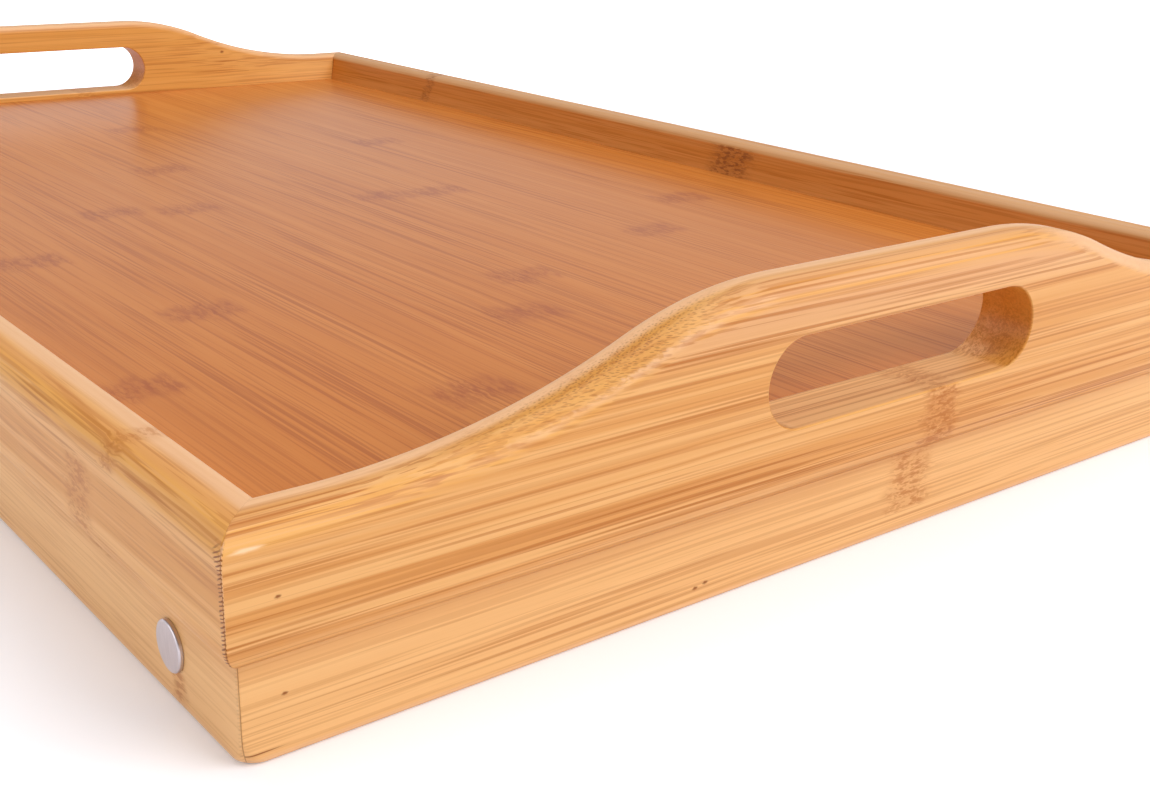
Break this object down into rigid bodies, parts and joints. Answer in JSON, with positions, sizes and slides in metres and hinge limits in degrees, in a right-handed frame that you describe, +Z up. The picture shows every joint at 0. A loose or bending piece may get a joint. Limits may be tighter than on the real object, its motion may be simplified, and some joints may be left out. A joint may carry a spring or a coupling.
{
  "type": "bed tray",
  "caption": "Shallow bamboo bed tray with raised, slotted handles in its end boards and leg frames that fold flat under the panel.",
  "frame": {"origin": "on the surface that the tray stands on with its legs folded, under the middle of the tray", "axes": "+X along the tray, from one handled end board to the other; +Y across it; +Z up"},
  "size_m": [0.5, 0.304, 0.0626],
  "materials": {
    "bamboo": "satin varnish",
    "panel_bamboo": "satin varnish, caramel bamboo strips",
    "hidden_bamboo": "bare",
    "pivot_steel": "satin",
    "washer_nylon": "matte"
  },
  "bodies": {
    "tray": {"tray_panel": "panel_bamboo", "front_rail": "bamboo", "back_rail": "bamboo", "left_end_board": "bamboo", "right_end_board": "bamboo", "corner_spline_front_left": "hidden_bamboo", "corner_spline_back_left": "hidden_bamboo", "corner_spline_front_right": "hidden_bamboo", "corner_spline_back_right": "hidden_bamboo", "sleeve_nut_front_left": "pivot_steel", "sleeve_nut_back_left": "pivot_steel", "sleeve_nut_front_right": "pivot_steel", "sleeve_nut_back_right": "pivot_steel", "pivot_screw_front_left": "pivot_steel", "pivot_screw_back_left": "pivot_steel", "pivot_screw_front_right": "pivot_steel", "pivot_screw_back_right": "pivot_steel", "spacer_washer_front_left": "washer_nylon", "spacer_washer_back_left": "washer_nylon", "spacer_washer_front_right": "washer_nylon", "spacer_washer_back_right": "washer_nylon"},
    "left_leg_frame": {"leg_post_front_left": "bamboo", "leg_post_back_left": "bamboo", "leg_bar_left": "bamboo"},
    "right_leg_frame": {"leg_post_front_right": "bamboo", "leg_post_back_right": "bamboo", "leg_bar_right": "bamboo"}
  },
  "joints": [
    {"name": "left_leg_fold", "type": "hinge", "parent": "tray", "child": "left_leg_frame", "pos_m": [-0.22204, 0, 0.0112], "axis": [0, 1, 0], "range_deg": [0, 90]},
    {"name": "right_leg_fold", "type": "hinge", "parent": "tray", "child": "right_leg_frame", "pos_m": [0.22204, 0, 0.0112], "axis": [0, -1, 0], "range_deg": [0, 90]}
  ]
}
